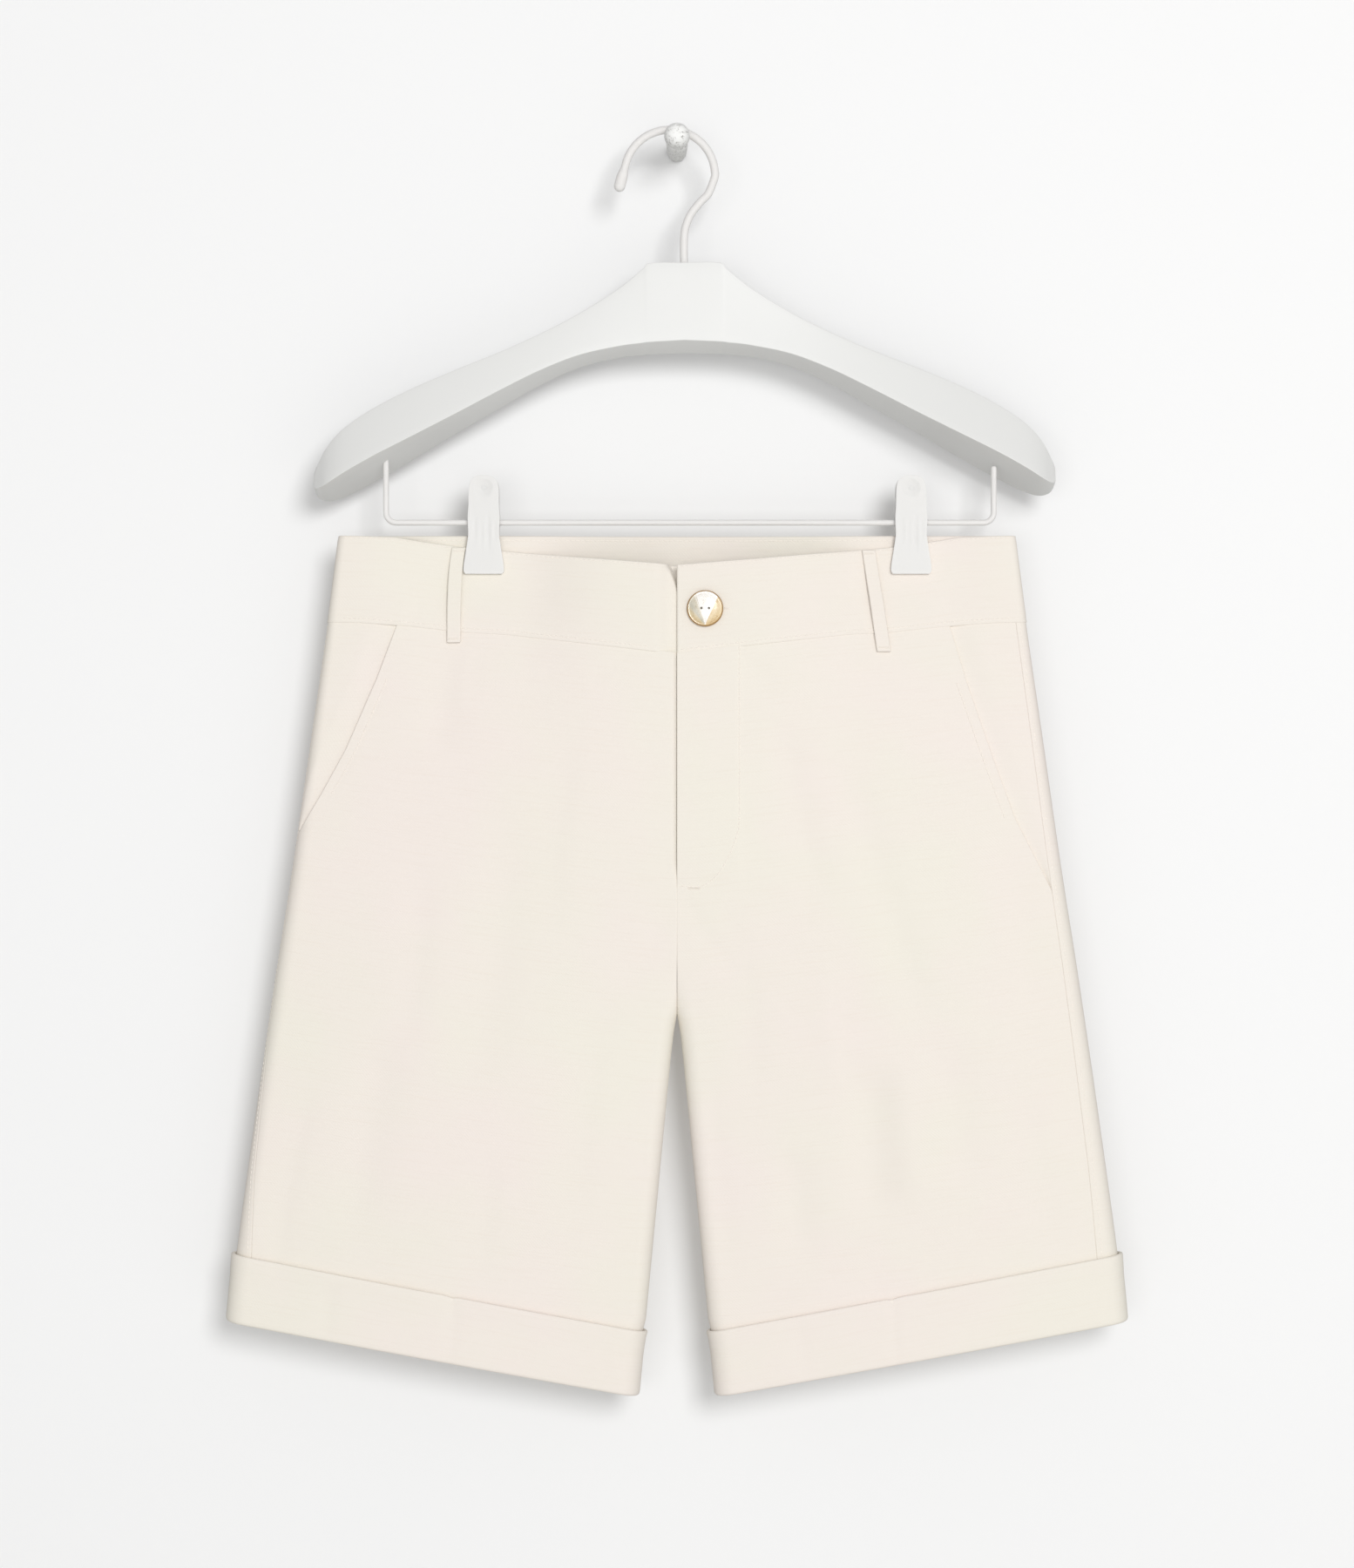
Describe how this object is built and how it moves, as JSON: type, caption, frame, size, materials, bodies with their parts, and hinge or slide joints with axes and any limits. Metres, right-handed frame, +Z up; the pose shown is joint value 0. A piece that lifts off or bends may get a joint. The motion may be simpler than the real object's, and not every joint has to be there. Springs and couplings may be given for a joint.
{
  "type": "bermuda shorts on a clip hanger",
  "caption": "Straight-leg bermuda shorts with turned-up hems, slant pockets, belt loops and a buttoned fly, clipped by the waistband to a hanger whose hook rests on a wall peg.",
  "frame": {"origin": "centre of the peg's flat end, on the wall", "axes": "+Z up, +Y into the wall and away from the wearer's front, +X to the right as seen from the front"},
  "size_m": [0.5277, 0.064, 0.7427],
  "materials": {
    "cream_cotton": "matt cream cotton and linen weave with faint slubs",
    "pearl_button": "polished warm pearl",
    "hanger_plastic": "satin white moulding",
    "clip_plastic": "glossy white moulding",
    "coated_steel": "white coated wire",
    "painted_wood": "worn white paint on wood"
  },
  "bodies": {
    "root": {"front_panel_left": "cream_cotton", "front_panel_right": "cream_cotton", "back_panel_left": "cream_cotton", "back_panel_right": "cream_cotton", "pocket_facing_left": "cream_cotton", "pocket_facing_right": "cream_cotton", "fly_underlap": "cream_cotton", "waistband_front_left": "cream_cotton", "waistband_front_right": "cream_cotton", "waistband_back": "cream_cotton", "cuff_front_left": "cream_cotton", "cuff_front_right": "cream_cotton", "cuff_back_left": "cream_cotton", "cuff_back_right": "cream_cotton", "belt_loop_front_left": "cream_cotton", "belt_loop_front_right": "cream_cotton", "belt_loop_back_left": "cream_cotton", "belt_loop_back_centre": "cream_cotton", "belt_loop_back_right": "cream_cotton", "waist_button": "pearl_button", "hanger_body": "hanger_plastic", "hanger_hook": "coated_steel", "clip_bar": "coated_steel", "wall_peg": "painted_wood", "clip_left_front_jaw": "clip_plastic", "clip_left_back_jaw": "clip_plastic", "clip_left_pivot": "clip_plastic", "clip_right_front_jaw": "clip_plastic", "clip_right_back_jaw": "clip_plastic", "clip_right_pivot": "clip_plastic"}
  },
  "joints": []
}
